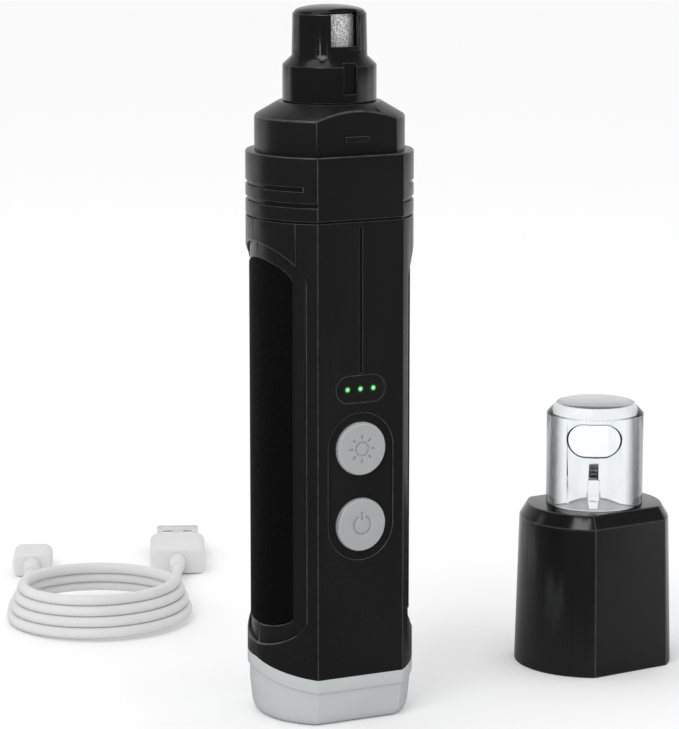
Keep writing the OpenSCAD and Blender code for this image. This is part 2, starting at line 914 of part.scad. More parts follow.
module motor_can() {
    color("#b9bcc0") difference() {
        union() {
            rod(motor_r, motor_low, motor_top);
            rod(boss_r, motor_top - eps, motor_top + boss_h);
        }
        rod(motor_r - can_wall, motor_low - 1, motor_top - can_wall);
        rod(shaft_r + shaft_gap, motor_low, motor_top + boss_h + 1);
        for (side = [-1, 1]) translate([0, side * motor_screw_y, 0])
            rod(board_screw_r, motor_top - 2, motor_top + 1);
    }
}

module motor_end_bell() {
    color("#e6e6e0") difference() {
        union() {
            rod(motor_r - 0.3, motor_low - bell_h, motor_low);
            rod(2.6, motor_low - bell_h - 1, motor_low);
        }
        rod(shaft_r + shaft_gap, motor_low - bell_h + 0.4, motor_low + 1);
        for (side = [-1, 1]) translate([side * 6 - 0.25, -1, motor_low - bell_h - 1])
            cube([0.5, 2, bell_h + 2]);
    }
}

module motor_terminals() {
    color("#c8a24a") for (side = [-1, 1])
        translate([side * 6 - 0.25, -1, motor_low - bell_h - 2]) cube([0.5, 2, bell_h + 2]);
}

module motor_magnets() {
    color("#55585c") for (side = [0, 180]) rotate(side) intersection() {
        pipe(motor_r - can_wall, magnet_r, motor_low + 4, motor_top - 5);
        translate([0, -motor_r, motor_low]) linear_extrude(motor_h)
            polygon([[0, motor_r], [2 * motor_r, -0.6 * motor_r], [2 * motor_r, 2.6 * motor_r]]);
    }
}

// Three-pole armature with its commutator
module motor_armature() {
    color("#a8622e") difference() {
        union() {
            rod(armature_r, motor_low + 5, motor_top - 6);
            rod(2.4, motor_low + 1.5, motor_low + 5 + eps);
        }
        for (a = [30:120:270]) rotate(a) translate([armature_r, 0, 0])
            linear_extrude(motor_top) square([4.4, 1.2], center = true);
        rod(shaft_r, motor_low, motor_top);
    }
}

module motor_shaft() {
    color("#d5d8dc") rod(shaft_r, motor_low - bell_h + 0.5, collet_z + 5);
}

module vibration_sleeve() {
    color("#2e2e2e") pipe(motor_r + 1.4, motor_r, motor_low + 2, motor_low + 9);
}

module motor_screws() {
    color("#9a9a9a") for (side = [-1, 1]) translate([0, side * motor_screw_y, 0]) {
        rod(board_screw_r, motor_top - 1.4, motor_top + bulkhead_t);
        rod(1.4, motor_top + bulkhead_t, motor_top + bulkhead_t + 1);
    }
}

module collet() {
    color("#c9a85a") difference() {
        rod(collet_r, collet_z, collet_z + collet_h);
        rod(shaft_r, collet_z - 1, collet_z + 5);
        rod(shank_r, collet_z + 6, collet_z + collet_h + 1);
        for (a = [0, 90]) rotate(a) translate([0, 0, collet_z + collet_h])
            cube([2 * collet_r + 1, 0.5, 9], center = true);
    }
}

module collet_nut() {
    color("#cfd2d6") translate([0, 0, collet_z + collet_h]) difference() {
        intersection() {
            cylinder(r = nut_r, h = nut_h, $fn = 6);
            cylinder(r1 = nut_r + 1.6, r2 = nut_r - 0.5, h = nut_h);
        }
        translate([0, 0, -1]) cylinder(r = shank_r, h = nut_h + 2);
    }
}

module drum_shank() {
    color("#d5d8dc") rod(shank_r, collet_z + 6, drum_top);
}

module drum_core() {
    color("#e4e6e8") pipe(drum_r - sleeve_t, shank_r, drum_low, drum_top);
}

module grinding_drum() {
    color("#b5b5b2") pipe(drum_r, drum_r - sleeve_t, drum_low + 0.2, drum_top);
}

// ---- Fasteners ----

module shell_screws() {
    color("#3a3a3a") at_handle_screws() difference() {
        union() {
            rod_y(screw_r, -8, screw_seat_y + eps);
            rod_y(screw_head_r, screw_seat_y, screw_seat_y + screw_head_h);
        }
        for (a = [0, 90]) rotate([0, a, 0]) translate([0, screw_seat_y + screw_head_h, 0])
            cube([2.2, 1.6, 0.5], center = true);
    }
}

module base_screws() {
    color("#8c8c8c") for (side = [-1, 1]) translate([side * base_screw_x, base_screw_y, 0]) difference() {
        union() {
            rod(screw_r, base_floor - 1 - eps, base_h);
            rod(screw_head_r, base_floor - 1 - screw_head_h, base_floor - 1);
        }
        for (a = [0, 90]) rotate(a) translate([0, 0, base_floor - 1 - screw_head_h])
            cube([2.2, 0.5, 1.4], center = true);
    }
}

// ---- Guard and storage cap ----

module at_cap() {
    translate([cap_at.x, cap_at.y, 0]) rotate(cap_turn) children();
}

module storage_cap() {
    below = cap_h - cap_chamfer;
    color("#161616") at_cap() difference() {
        double_d_stack([
            [0, body_r, body_d],
            [below, body_r - cap_taper, body_d - cap_taper],
            [cap_h, body_r - cap_taper - cap_chamfer_in, body_d - cap_taper - cap_chamfer_in]
        ]);
        double_d_block(shoulder_r + cap_gap, shoulder_d + cap_flat_gap, -1, cap_fit_h);
        double_d_stack([
            [cap_fit_h - eps, body_r - cap_wall - 0.4, body_d - cap_wall - 0.4],
            [below - 1.5, body_r - cap_taper - cap_wall - 0.3, body_d - cap_taper - cap_wall - 0.3],
            [cap_h - cap_top, body_r - cap_taper - 4, body_d - cap_taper - 3.6]
        ]);
    }
}

module clear_guard() {
    color([0.85, 0.9, 0.95, 0.4]) translate([cap_at.x, cap_at.y, cap_h]) rotate(guard_turn) {
        difference() {
            rotate_extrude() polygon([
                [0, 0], [guard_r, 0], [guard_r, guard_h - 2.7], [guard_top_r, guard_h], [0, guard_h]
            ]);
            rod(guard_inner_r, -1, guard_ceiling);
            translate([0, 0, port_z]) slot_y(port_w, port_h, -guard_r - 1, -4);
        }
        // Key that slides down the nose cover's slot
        intersection() {
            translate([-key_w / 2 + 0.2, -guard_r + 0.3, 2.6]) cube([key_w - 0.4, 1.6, 5.4]);
            pipe(guard_r - 0.3, ring_r - key_depth + 0.15, 0, guard_h);
        }
    }
}

// ---- Cable ----

// Places a plug's pieces behind its cable end, pointing along the heading
module at_plug(from) {
    translate(from) rotate(plug_heading) children();
}

// Box with rounded long edges, lying along X
module plug_block(size, from, corner) {
    translate([from, 0, 0]) rotate([90, 0, 90]) linear_extrude(size.x) {
        square([size.y - 2 * corner, size.z], center = true);
        square([size.y, size.z - 2 * corner], center = true);
        for (x = [-1, 1]) for (y = [-1, 1])
            translate([x * (size.y / 2 - corner), y * (size.z / 2 - corner)]) circle(corner);
    }
}

module relief() {
    rotate([0, 90, 0]) cylinder(r1 = cable_dia / 2 + 0.35, r2 = relief_r, h = relief_h);
}

module usb_a_relief() {
    color("#f2f2f2") at_plug(usb_from) relief();
}

module usb_a_body() {
    color("#f4f4f4") at_plug(usb_from) plug_block(usb_body, relief_h, 2.2);
}

module usb_a_shell() {
    color("#c8ccd0") at_plug(usb_from) difference() {
        plug_block(usb_shell, relief_h + usb_body.x, 0.5);
        translate([1, 0, 0])
            plug_block([usb_shell.x, usb_shell.y - 0.8, usb_shell.z - 0.8], relief_h + usb_body.x, 0.2);
        for (side = [-1, 1]) translate([relief_h + usb_body.x + 7, side * 2.9, 2])
            cube([2.4, 2.4, 2], center = true);
    }
}

module usb_a_core() {
    color("#f0f0f0") at_plug(usb_from)
        translate([relief_h + usb_body.x + 1, -usb_shell.y / 2 + 0.6, -1.7])
            cube([usb_shell.x - 1.6, usb_shell.y - 1.2, 1.7]);
}

module micro_relief() {
    color("#f2f2f2") at_plug(micro_from) relief();
}

module micro_body() {
    color("#f4f4f4") at_plug(micro_from) plug_block(micro_body_size, relief_h, 2.2);
}

module micro_shell() {
    color("#c8ccd0") at_plug(micro_from) difference() {
        plug_block(micro_shell_size, relief_h + micro_body_size.x, 0.4);
        translate([1, 0, 0])
            plug_block([micro_shell_size.x, micro_shell_size.y - 0.6, micro_shell_size.z - 0.6],
                relief_h + micro_body_size.x, 0.15);
    }
}

module micro_core() {
    color("#202020") at_plug(micro_from)
        translate([relief_h + micro_body_size.x + 1, -2.2, -0.6]) cube([micro_shell_size.x - 1.8, 4.4, 0.5]);
}

module cable_lead_micro() {
    color("#f2f2f2") swept_tube(smooth(micro_points, 2), cable_dia / 2, 8);
}

module cable_lead_usb() {
    color("#f2f2f2") swept_tube(smooth(usb_points, 2), cable_dia / 2, 8);
}

module cable_coil() {
    color("#f2f2f2") translate([coil_at.x, coil_at.y, 0]) rotate_extrude()
        translate([coil_r - coil_half, 0]) square([2 * coil_half, coil_h]);
}

front_shell();
rear_shell();
head_housing();
nose_cover();
base_cap();
grip_left();
grip_right();
led_window();
light_guides();
light_button();
power_button();
light_plunger();
power_plunger();
tact_switches();
main_board();
board_leds();
board_chips();
usb_socket();
usb_socket_core();
battery_cell();
battery_tabs();
battery_foam();
motor_can();
motor_end_bell();
motor_terminals();
motor_magnets();
motor_armature();
motor_shaft();
vibration_sleeve();
motor_screws();
collet();
collet_nut();
drum_shank();
drum_core();
grinding_drum();
dust_seal();
head_light_board();
head_leds();
shell_screws();
base_screws();
board_screws();
battery_wires();
motor_wires();
light_wires();
clear_guard();
storage_cap();
usb_a_shell();
usb_a_core();
usb_a_body();
usb_a_relief();
micro_shell();
micro_core();
micro_body();
micro_relief();
cable_lead_micro();
cable_lead_usb();
cable_coil();
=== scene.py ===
import json
import math

import bmesh
import bpy
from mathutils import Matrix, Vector, noise

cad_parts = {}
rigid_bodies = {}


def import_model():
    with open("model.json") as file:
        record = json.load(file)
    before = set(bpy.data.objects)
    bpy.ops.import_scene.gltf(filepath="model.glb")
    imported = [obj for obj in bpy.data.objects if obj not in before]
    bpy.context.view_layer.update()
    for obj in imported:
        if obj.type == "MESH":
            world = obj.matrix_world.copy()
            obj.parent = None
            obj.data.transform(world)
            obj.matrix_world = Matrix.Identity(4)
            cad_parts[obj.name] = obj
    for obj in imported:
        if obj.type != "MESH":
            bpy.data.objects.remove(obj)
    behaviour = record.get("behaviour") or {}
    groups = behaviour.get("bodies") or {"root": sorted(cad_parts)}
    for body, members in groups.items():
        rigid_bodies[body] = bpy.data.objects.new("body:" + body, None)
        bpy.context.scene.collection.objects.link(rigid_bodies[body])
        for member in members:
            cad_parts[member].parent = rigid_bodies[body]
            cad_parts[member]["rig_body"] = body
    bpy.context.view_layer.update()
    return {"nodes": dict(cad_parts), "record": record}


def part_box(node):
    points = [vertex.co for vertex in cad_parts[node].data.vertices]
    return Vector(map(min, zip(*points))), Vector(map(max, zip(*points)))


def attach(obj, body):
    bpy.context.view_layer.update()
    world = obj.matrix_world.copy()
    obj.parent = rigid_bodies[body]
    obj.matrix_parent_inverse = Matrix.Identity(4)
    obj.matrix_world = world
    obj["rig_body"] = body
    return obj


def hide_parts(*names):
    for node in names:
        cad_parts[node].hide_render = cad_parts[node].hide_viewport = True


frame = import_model()
nodes = frame["nodes"]
slotOf = {part["node"]: part["material_slot"] for part in frame["record"]["subparts"]}
mm = 0.001


def centreOf(node):
    low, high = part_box(node)
    return (Vector(low) + Vector(high)) / 2


# Camera place and aim in millimetres; nothing nearer than "nearest", in metres, is drawn
view = {"eye": (-343, -686, 224), "aim": (2.1, -1.1, 84.7), "lens": 160.5, "nearest": 0.01}


def placeCamera():
    data = bpy.data.cameras.new("productCamera")
    data.lens = view["lens"]
    data.clip_start = view["nearest"]
    camera = bpy.data.objects.new("productCamera", data)
    bpy.context.scene.collection.objects.link(camera)
    camera.location = Vector(view["eye"]) * mm
    direction = Vector(view["aim"]) * mm - camera.location
    camera.rotation_euler = direction.to_track_quat("-Z", "Y").to_euler()
    bpy.context.scene.camera = camera


placeCamera()
print("camera placed")


# Charging cable: sizes in millimetres, angles in degrees, and the points of its two leads
cable = {
    "diameter": 2.9,
    "coilCentre": (-18, 102),
    "coilTurns": 3.5,
    "coilStep": 15,
    "outerRadius": 23.75,
    "closingIn": 1.0,
    "firstHeight": 1.5,
    "climb": 2.69,
    "startAngle": 153.3,
    "stepsBetween": 3,
    "roundness": 5,
    "micro": [
        (-21, 146, 3.3), (-25.5, 138.5, 2.5), (-30.5, 130, 1.8), (-35.5, 121, 1.6), (-39, 113, 1.6),
    ],
    "usb": [(0, 93, 10.9), (3.5, 101, 9.2), (8, 111, 6.2), (12.7, 121, 4.2), (17, 130, 3.8)],
}


def coilPoints():
    points = []
    total = cable["coilTurns"] * 360
    steps = int(total / cable["coilStep"])
    for step in range(1, steps):
        turned = step * cable["coilStep"]
        angle = math.radians(cable["startAngle"] + turned)
        turns = turned / 360
        radius = cable["outerRadius"] - cable["closingIn"] * turns
        points.append((
            cable["coilCentre"][0] + radius * math.cos(angle),
            cable["coilCentre"][1] + radius * math.sin(angle),
            cable["firstHeight"] + cable["climb"] * turns,
        ))
    return points


def smoothed(points, steps):
    # A curve through every point, with no corners
    points = [Vector(p) for p in points]
    path = []
    for i in range(len(points) - 1):
        a = points[max(i - 1, 0)]
        b = points[i]
        c = points[i + 1]
        d = points[min(i + 2, len(points) - 1)]
        for k in range(steps):
            t = k / steps
            path.append(0.5 * (
                2 * b + (c - a) * t + (2 * a - 5 * b + 4 * c - d) * t ** 2
                + (3 * b - a - 3 * c + d) * t ** 3
            ))
    path.append(points[-1])
    return path


def makeCable():
    path = smoothed(cable["micro"] + coilPoints() + cable["usb"], cable["stepsBetween"])
    curve = bpy.data.curves.new("chargingCable", "CURVE")
    curve.dimensions = "3D"
    curve.bevel_depth = cable["diameter"] / 2 * mm
    curve.bevel_resolution = cable["roundness"]
    curve.use_fill_caps = True
    spline = curve.splines.new("POLY")
    spline.points.add(len(path) - 1)
    for point, place in zip(spline.points, path):
        point.co = (*(place * mm), 1)
    spline.use_smooth = True
    swept = bpy.data.objects.new("sweptCable", curve)
    bpy.context.scene.collection.objects.link(swept)
    bpy.context.view_layer.update()
    mesh = bpy.data.meshes.new_from_object(swept.evaluated_get(bpy.context.evaluated_depsgraph_get()))
    bpy.data.objects.remove(swept)
    mesh.name = "chargingCable"
    piece = bpy.data.objects.new("chargingCable", mesh)
    bpy.context.scene.collection.objects.link(piece)
    length = sum((b - a).length for a, b in zip(path, path[1:])) * mm
    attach(piece, "cable")
    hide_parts("cable_coil", "cable_lead_micro", "cable_lead_usb")
    return piece, length, path


cablePiece, cableLength, cablePath = makeCable()
print("cable made,", round(cableLength, 4), "m")


def addNode(tree, kind, **values):
    node = tree.nodes.new(kind)
    for name, value in values.items():
        setattr(node, name, value)
    return node


def addMath(tree, operation, first, second=None):
    node = addNode(tree, "ShaderNodeMath", operation=operation)
    for socket, value in zip(node.inputs, (first, second)):
        if value is None:
            continue
        if isinstance(value, (int, float)):
            socket.default_value = value
        else:
            tree.links.new(value, socket)
    return node.outputs[0]


def newGroup(name, inputs, outputs):
    tree = bpy.data.node_groups.new(name, "ShaderNodeTree")
    for label, kind, value in inputs:
        socket = tree.interface.new_socket(label, in_out="INPUT", socket_type=kind)
        socket.default_value = value
    for label, kind in outputs:
        tree.interface.new_socket(label, in_out="OUTPUT", socket_type=kind)
    start = addNode(tree, "NodeGroupInput")
    end = addNode(tree, "NodeGroupOutput")
    place = addNode(tree, "ShaderNodeTexCoord").outputs["Object"]
    return tree, start.outputs, end.inputs, place


def addNoise(tree, place, scale, detail=3.0, roughness=0.5):
    texture = addNode(tree, "ShaderNodeTexNoise")
    texture.inputs["Detail"].default_value = detail
    texture.inputs["Roughness"].default_value = roughness
    tree.links.new(place, texture.inputs["Vector"])
    if isinstance(scale, (int, float)):
        texture.inputs["Scale"].default_value = scale
    else:
        tree.links.new(scale, texture.inputs["Scale"])
    return texture.outputs["Fac"]


def addRange(tree, value, low, high, toLow, toHigh):
    node = addNode(tree, "ShaderNodeMapRange")
    tree.links.new(value, node.inputs["Value"])
    for label, given in (("From Min", low), ("From Max", high), ("To Min", toLow), ("To Max", toHigh)):
        if isinstance(given, (int, float)):
            node.inputs[label].default_value = given
        else:
            tree.links.new(given, node.inputs[label])
    return node.outputs["Result"]


def addMix(tree, mask, first, second):
    node = addNode(tree, "ShaderNodeMix", data_type="RGBA")
    tree.links.new(mask, node.inputs["Factor"])
    for socket, given in ((node.inputs[6], first), (node.inputs[7], second)):
        if isinstance(given, tuple):
            socket.default_value = given
        else:
            tree.links.new(given, socket)
    return node.outputs[2]


# Noise scales per metre and the shares that the surface groups give to each effect
surfaces = {"highlightBreakupScale": 420.0, "stainScale": 180.0, "patchShare": 0.7, "grainShare": 0.3, "polish": 0.75}


def buildMouldedGroup():
    # Moulded surface: slow colour drift, handling marks in the gloss, a fine spark texture and a painted
    # edge highlight
    tree, given, out, place = newGroup(
        "mouldedSurface",
        [
            ("Main", "NodeSocketColor", (0.5, 0.5, 0.5, 1)),
            ("Shade", "NodeSocketColor", (0.4, 0.4, 0.4, 1)),
            ("Patch Scale", "NodeSocketFloat", 60.0),
            ("Grain Scale", "NodeSocketFloat", 3000.0),
            ("Smoothest", "NodeSocketFloat", 0.3),
            ("Roughest", "NodeSocketFloat", 0.5),
            ("Edge", "NodeSocketColor", (0.5, 0.5, 0.5, 1)),
            ("Edge Highlight Share", "NodeSocketFloat", 0.5),
        ],
        [("Color", "NodeSocketColor"), ("Roughness", "NodeSocketFloat"), ("Height", "NodeSocketFloat")],
    )
    patch = addNoise(tree, place, given["Patch Scale"], 4.0)
    grain = addNoise(tree, place, given["Grain Scale"], 2.0)
    mask = addRange(tree, patch, 0.35, 0.7, 0.0, 1.0)
    # Painted highlight: a lighter edge colour on bevelled edges, broken up by noise; the roughness there
    # is lower too
    edgeHighlightMask = addNode(tree, "ShaderNodeAttribute", attribute_name="paintedEdgeMask").outputs["Fac"]
    highlightBreakup = addRange(tree, addNoise(tree, place, surfaces["highlightBreakupScale"]), 0.3, 0.6, 0.45, 1.0)
    uneven = addMath(tree, "MULTIPLY", edgeHighlightMask, highlightBreakup)
    edgeHighlightMask = addMath(tree, "MULTIPLY", uneven, given["Edge Highlight Share"])
    main = addMix(tree, mask, given["Main"], given["Shade"])
    tree.links.new(addMix(tree, edgeHighlightMask, main, given["Edge"]), out["Color"])
    slow = addMath(tree, "MULTIPLY", patch, surfaces["patchShare"])
    marks = addMath(tree, "ADD", slow, addMath(tree, "MULTIPLY", grain, surfaces["grainShare"]))
    rough = addRange(tree, marks, 0.35, 0.65, given["Smoothest"], given["Roughest"])
    polished = addRange(tree, edgeHighlightMask, 0.0, 1.0, 1.0, surfaces["polish"])
    tree.links.new(addMath(tree, "MULTIPLY", rough, polished), out["Roughness"])
    tree.links.new(grain, out["Height"])
    return tree


def buildBrushedGroup():
    # Metal drawn or turned: fine lines stretched along one direction
    tree, given, out, place = newGroup(
        "brushedSurface",
        [
            ("Main", "NodeSocketColor", (0.6, 0.6, 0.6, 1)),
            ("Shade", "NodeSocketColor", (0.4, 0.4, 0.4, 1)),
            ("Line Scale", "NodeSocketFloat", 3000.0),
            ("Stretch", "NodeSocketVector", (1.0, 1.0, 0.1)),
            ("Smoothest", "NodeSocketFloat", 0.2),
            ("Roughest", "NodeSocketFloat", 0.45),
        ],
        [("Color", "NodeSocketColor"), ("Roughness", "NodeSocketFloat"), ("Height", "NodeSocketFloat")],
    )
    stretched = addNode(tree, "ShaderNodeVectorMath", operation="MULTIPLY")
    tree.links.new(place, stretched.inputs[0])
    tree.links.new(given["Stretch"], stretched.inputs[1])
    lines = addNoise(tree, stretched.outputs[0], given["Line Scale"], 4.0, 0.65)
    stains = addNoise(tree, place, surfaces["stainScale"], 3.0)
    mask = addRange(tree, addMath(tree, "MULTIPLY", lines, stains), 0.12, 0.4, 0.0, 1.0)
    tree.links.new(addMix(tree, mask, given["Main"], given["Shade"]), out["Color"])
    rough = addRange(tree, lines, 0.3, 0.7, given["Smoothest"], given["Roughest"])
    tree.links.new(rough, out["Roughness"])
    tree.links.new(lines, out["Height"])
    return tree


def buildPebbleGroup():
    # Close packed raised dots, as on moulded rubber, foam and felt
    tree, given, out, place = newGroup(
        "pebbledSurface",
        [
            ("Main", "NodeSocketColor", (0.02, 0.02, 0.02, 1)),
            ("Shade", "NodeSocketColor", (0.01, 0.01, 0.01, 1)),
            ("Pebble Scale", "NodeSocketFloat", 1800.0),
            ("Smoothest", "NodeSocketFloat", 0.5),
            ("Roughest", "NodeSocketFloat", 0.8),
        ],
        [("Color", "NodeSocketColor"), ("Roughness", "NodeSocketFloat"), ("Height", "NodeSocketFloat")],
    )
    cells = addNode(tree, "ShaderNodeTexVoronoi", feature="F1")
    tree.links.new(place, cells.inputs["Vector"])
    tree.links.new(given["Pebble Scale"], cells.inputs["Scale"])
    dome = addRange(tree, cells.outputs["Distance"], 0.0, 0.62, 1.0, 0.0)
    split = addNode(tree, "ShaderNodeSeparateColor")
    tree.links.new(cells.outputs["Color"], split.inputs[0])
    # Painted shade: the colour darkens from the dot tops into the hollows between them
    tree.links.new(addMix(tree, dome, given["Shade"], given["Main"]), out["Color"])
    rough = addRange(tree, split.outputs[0], 0.0, 1.0, given["Smoothest"], given["Roughest"])
    tree.links.new(rough, out["Roughness"])
    uneven = addMath(tree, "MULTIPLY", dome, addRange(tree, split.outputs[1], 0.0, 1.0, 0.5, 1.0))
    tree.links.new(uneven, out["Height"])
    return tree


mouldedGroup = buildMouldedGroup()
brushedGroup = buildBrushedGroup()
pebbleGroup = buildPebbleGroup()


def startMaterial(name, group, values):
    material = bpy.data.materials.new(name)
    material.use_nodes = True
    tree = material.node_tree
    shader = tree.nodes["Principled BSDF"]
    surface = addNode(tree, "ShaderNodeGroup", node_tree=group)
    for label, value in values.items():
        surface.inputs[label].default_value = value
    tree.links.new(surface.outputs["Color"], shader.inputs["Base Color"])
    tree.links.new(surface.outputs["Roughness"], shader.inputs["Roughness"])
    return material, tree, shader, surface


def addBump(tree, height, shader, distance, strength=1.0):
    bump = addNode(tree, "ShaderNodeBump")
    bump.inputs["Distance"].default_value = distance * mm
    bump.inputs["Strength"].default_value = strength
    tree.links.new(height, bump.inputs["Height"])
    tree.links.new(bump.outputs["Normal"], shader.inputs["Normal"])


def colour(value, alpha=1.0):
    if isinstance(value, (int, float)):
        value = (value, value, value)
    return (*value, alpha)


# edge is a lighter colour painted on bevelled edges as a highlight, and the value after it is its share
def plastic(
        name, main, shade, smoothest, roughest, grain=3200.0, patch=55.0, bump=0.004, gloss=0.5,
        edge=None, paintedEdge=0.0):
    material, tree, shader, surface = startMaterial(name, mouldedGroup, {
        "Main": colour(main), "Shade": colour(shade), "Patch Scale": patch, "Grain Scale": grain,
        "Smoothest": smoothest, "Roughest": roughest, "Edge": colour(main if edge is None else edge),
        "Edge Highlight Share": paintedEdge,
    })
    shader.inputs["Specular IOR Level"].default_value = gloss
    addBump(tree, surface.outputs["Height"], shader, bump)
    return material


def metal(
        name, main, shade, smoothest, roughest, lines=2600.0, stretch=(1.0, 1.0, 0.08), bump=0.003,
        metallic=0.62):
    material, tree, shader, surface = startMaterial(name, brushedGroup, {
        "Main": colour(main), "Shade": colour(shade), "Line Scale": lines, "Stretch": stretch,
        "Smoothest": smoothest, "Roughest": roughest,
    })
    shader.inputs["Metallic"].default_value = metallic
    addBump(tree, surface.outputs["Height"], shader, bump)
    return material


def pebbled(name, main, shade, smoothest, roughest, size, bump, metallic=0.0, gloss=0.5):
    material, tree, shader, surface = startMaterial(name, pebbleGroup, {
        "Main": colour(main), "Shade": colour(shade), "Pebble Scale": 1 / (size * mm),
        "Smoothest": smoothest, "Roughest": roughest,
    })
    shader.inputs["Metallic"].default_value = metallic
    shader.inputs["Specular IOR Level"].default_value = gloss
    addBump(tree, surface.outputs["Height"], shader, bump)
    return material


# Clear guard: painted shade darkens its colour where walls are seen edge-on, in a band at the top and on
# the bevelled cut edges.
# The darker top band starts and ends in millimetres below the top.
guard = {
    "ior": 1.49, "darkFrom": 0.28, "darkTo": 0.52, "wallUntil": 0.3, "topFrom": 0.8, "topShare": 0.12,
    "frost": 0.75, "topShadeFrom": 0.3, "topShadeTo": 0.1, "cutEdgeShade": 0.4, "dark": (0.10, 0.105, 0.11, 1),
    "bump": 0.0006,
}


def clearPlastic(name):
    material, tree, shader, surface = startMaterial(name, mouldedGroup, {
        "Main": (0.97, 0.985, 0.99, 1), "Shade": (0.93, 0.96, 0.97, 1), "Patch Scale": 90.0,
        "Grain Scale": 2200.0, "Smoothest": 0.01, "Roughest": 0.05, "Edge Highlight Share": 0.0,
    })
    shader.inputs["Transmission Weight"].default_value = 1.0
    shader.inputs["IOR"].default_value = guard["ior"]
    facing = addNode(tree, "ShaderNodeLayerWeight")
    facing.inputs["Blend"].default_value = 0.5
    glancing = addRange(tree, facing.outputs["Facing"], guard["darkFrom"], guard["darkTo"], 0.0, 1.0)
    split = addNode(tree, "ShaderNodeSeparateXYZ")
    tree.links.new(addNode(tree, "ShaderNodeNewGeometry").outputs["Normal"], split.inputs[0])
    tilt = addMath(tree, "ABSOLUTE", split.outputs["Z"])
    upright = addRange(tree, tilt, guard["wallUntil"], guard["topFrom"], 1.0, guard["topShare"])
    edgeOnShade = addMath(tree, "MULTIPLY", glancing, upright)
    place = addNode(tree, "ShaderNodeSeparateXYZ")
    tree.links.new(addNode(tree, "ShaderNodeTexCoord").outputs["Object"], place.inputs[0])
    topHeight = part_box("clear_guard")[1].z
    low = topHeight - guard["topShadeFrom"] * mm
    high = topHeight - guard["topShadeTo"] * mm
    topShaded = addRange(tree, place.outputs["Z"], low, high, 0.0, guard["frost"])
    cut = addNode(tree, "ShaderNodeAttribute", attribute_name="paintedEdgeMask").outputs["Fac"]
    cutEdgeShade = addMath(tree, "MULTIPLY", cut, guard["cutEdgeShade"])
    shaded = addMath(tree, "MAXIMUM", edgeOnShade, addMath(tree, "MAXIMUM", topShaded, cutEdgeShade))
    # Painted shade: the colour turns dark on edge-on walls, on the top band and on the bevelled cut edges
    tone = addMix(tree, shaded, surface.outputs["Color"], guard["dark"])
    tree.links.new(tone, shader.inputs["Base Color"])
    addBump(tree, surface.outputs["Height"], shader, guard["bump"])
    return material


# Lit dots seen through the dark battery window; pitch and radii in millimetres
lights = {"pitch": 3.4, "dotRadius": 0.72, "haloRadius": 1.02, "haloShare": 0.16, "power": 1.05}


def batteryWindow(name):
    material, tree, shader, surface = startMaterial(name, mouldedGroup, {
        "Main": colour(0.012), "Shade": colour(0.009), "Patch Scale": 90.0, "Grain Scale": 3000.0,
        "Smoothest": 0.14, "Roughest": 0.26,
    })
    middle = centreOf("led_window")
    place = addNode(tree, "ShaderNodeSeparateXYZ")
    tree.links.new(addNode(tree, "ShaderNodeTexCoord").outputs["Object"], place.inputs[0])
    pitch = lights["pitch"] * mm
    across = addNode(tree, "ShaderNodeMath", operation="WRAP")
    tree.links.new(place.outputs["X"], across.inputs[0])
    across.inputs[1].default_value = pitch / 2
    across.inputs[2].default_value = -pitch / 2
    rise = addMath(tree, "SUBTRACT", place.outputs["Z"], middle.z)
    acrossSquared = addMath(tree, "POWER", across.outputs[0], 2.0)
    away = addMath(tree, "SQRT", addMath(tree, "ADD", acrossSquared, addMath(tree, "POWER", rise, 2.0)))
    inside = addMath(tree, "LESS_THAN", addMath(tree, "ABSOLUTE", place.outputs["X"]), 1.5 * pitch)
    dot = lights["dotRadius"] * mm
    halo = lights["haloRadius"] * mm
    core = addMath(tree, "MULTIPLY", addRange(tree, away, 0.7 * dot, dot, 1.0, 0.0), inside)
    glow = addMath(tree, "MULTIPLY", addRange(tree, away, dot, halo, lights["haloShare"], 0.0), inside)
    middleDot = addRange(tree, away, 0.35 * dot, 0.85 * dot, 1.0, 0.0)
    green = addMix(tree, middleDot, (0.06, 0.50, 0.08, 1), (0.42, 0.92, 0.45, 1))
    tint = addMix(tree, core, (0.0, 0.30, 0.03, 1), green)
    lit = addMix(tree, addMath(tree, "MAXIMUM", core, glow), (0, 0, 0, 1), tint)
    tree.links.new(lit, shader.inputs["Emission Color"])
    shader.inputs["Emission Strength"].default_value = lights["power"]
    return material


def glowing(name, main, power):
    material, tree, shader, surface = startMaterial(name, mouldedGroup, {
        "Main": colour(main), "Shade": colour(tuple(0.8 * c for c in main)), "Patch Scale": 400.0,
        "Grain Scale": 4000.0, "Smoothest": 0.1, "Roughest": 0.2,
    })
    tree.links.new(surface.outputs["Color"], shader.inputs["Emission Color"])
    shader.inputs["Emission Strength"].default_value = power
    return material
